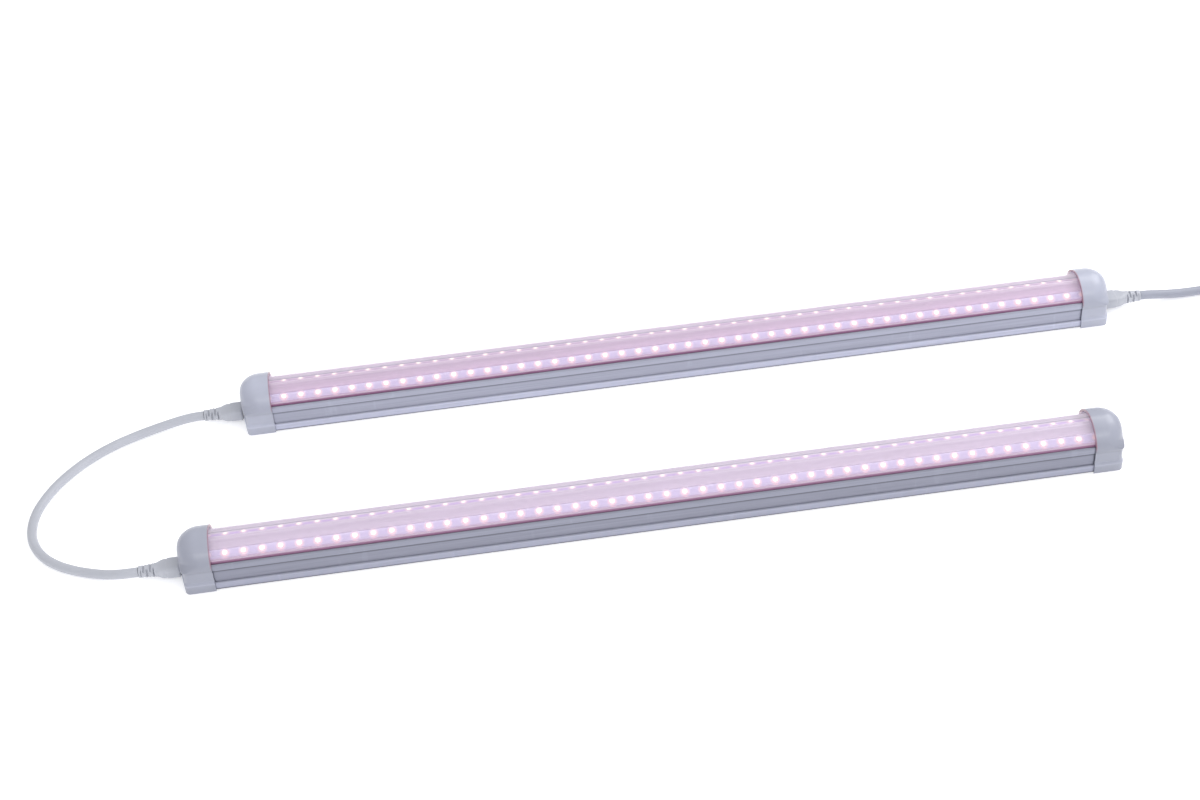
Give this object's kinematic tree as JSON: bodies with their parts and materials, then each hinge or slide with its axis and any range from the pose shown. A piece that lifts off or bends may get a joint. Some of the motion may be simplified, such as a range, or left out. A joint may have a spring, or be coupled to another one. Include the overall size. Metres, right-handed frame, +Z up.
{
  "type": "led grow light",
  "caption": "Linked pair of slim LED grow light bars with clear domed covers, white end caps, a short link cord and a coiled power cord with an inline switch.",
  "frame": {"origin": "midway between the two bars' centres, on the plane that their flat backs lie on", "axes": "+X along the bars towards the end with the power cord, +Y from the front bar to the rear bar, +Z up, the way the light goes"},
  "size_m": [0.9077, 0.2819, 0.0326],
  "materials": {
    "aluminium": "satin drawn extrusion",
    "clear_cover": "clear gloss acrylic",
    "lamp_board": "white solder mask lit pink",
    "cap_white": "satin gloss moulded",
    "cord_white": "soft moulded vinyl",
    "plug_insert": "hard moulded",
    "pin_header": "hard moulded with brass pins",
    "switch_white": "satin moulded",
    "rocker_black": "satin moulded",
    "contact_brass": "bright stamped",
    "screw_steel": "zinc plated",
    "driver_board": "green solder mask",
    "driver_black": "moulded component",
    "inductor": "taped winding",
    "sleeve_film": "insulating film",
    "wire": "insulated wire"
  },
  "bodies": {
    "rear_bar": {"rear_housing": "aluminium", "rear_lens": "clear_cover", "rear_front_lamp_board": "lamp_board", "rear_rear_lamp_board": "lamp_board", "rear_front_lamp_lead": "wire", "rear_rear_lamp_lead": "wire", "rear_driver_channel": "sleeve_film", "rear_driver_board": "driver_board", "rear_driver_inductor": "inductor", "rear_driver_capacitor": "driver_black", "rear_driver_rectifier": "driver_black", "rear_through_wires": "wire", "rear_left_cap": "cap_white", "rear_right_cap": "cap_white", "rear_left_pin_header": "pin_header", "rear_right_pin_header": "pin_header", "rear_left_cap_screw": "screw_steel", "rear_right_cap_screw": "screw_steel"},
    "front_bar": {"front_housing": "aluminium", "front_lens": "clear_cover", "front_front_lamp_board": "lamp_board", "front_rear_lamp_board": "lamp_board", "front_front_lamp_lead": "wire", "front_rear_lamp_lead": "wire", "front_driver_channel": "sleeve_film", "front_driver_board": "driver_board", "front_driver_inductor": "inductor", "front_driver_capacitor": "driver_black", "front_driver_rectifier": "driver_black", "front_through_wires": "wire", "front_left_cap": "cap_white", "front_right_cap": "cap_white", "front_left_pin_header": "pin_header", "front_right_pin_header": "pin_header", "front_left_cap_screw": "screw_steel", "front_right_cap_screw": "screw_steel"},
    "link_cord": {"link_rear_plug": "cord_white", "link_rear_plug_insert": "plug_insert", "link_front_plug": "cord_white", "link_front_plug_insert": "plug_insert", "link_cord_cable": "cord_white"},
    "power_cord": {"power_bar_plug": "cord_white", "power_bar_plug_insert": "plug_insert", "power_cord_feed": "cord_white", "power_cord_coil": "cord_white", "power_cord_tail": "cord_white", "power_cord_end": "cord_white", "switch_base": "switch_white", "switch_cover": "switch_white", "switch_frame": "rocker_black", "mains_plug": "cord_white", "mains_blade_live": "contact_brass", "mains_blade_neutral": "contact_brass", "mains_earth_pin": "contact_brass"},
    "rocker": {"switch_rocker": "rocker_black"}
  },
  "joints": [
    {"name": "link_plug_pull", "type": "slide", "parent": "rear_bar", "child": "link_cord", "axis": [-1, 0, 0], "range_m": [0, 0.012]},
    {"name": "front_bar_pull", "type": "slide", "parent": "link_cord", "child": "front_bar", "axis": [1, 0, 0], "range_m": [0, 0.012]},
    {"name": "power_plug_pull", "type": "slide", "parent": "rear_bar", "child": "power_cord", "axis": [1, 0, 0], "range_m": [0, 0.012]},
    {"name": "switch_rocker_tilt", "type": "hinge", "parent": "power_cord", "child": "rocker", "pos_m": [0.4732, -0.044, 0.0176], "axis": [-1, 0, 0], "range_deg": [0, 16]}
  ]
}
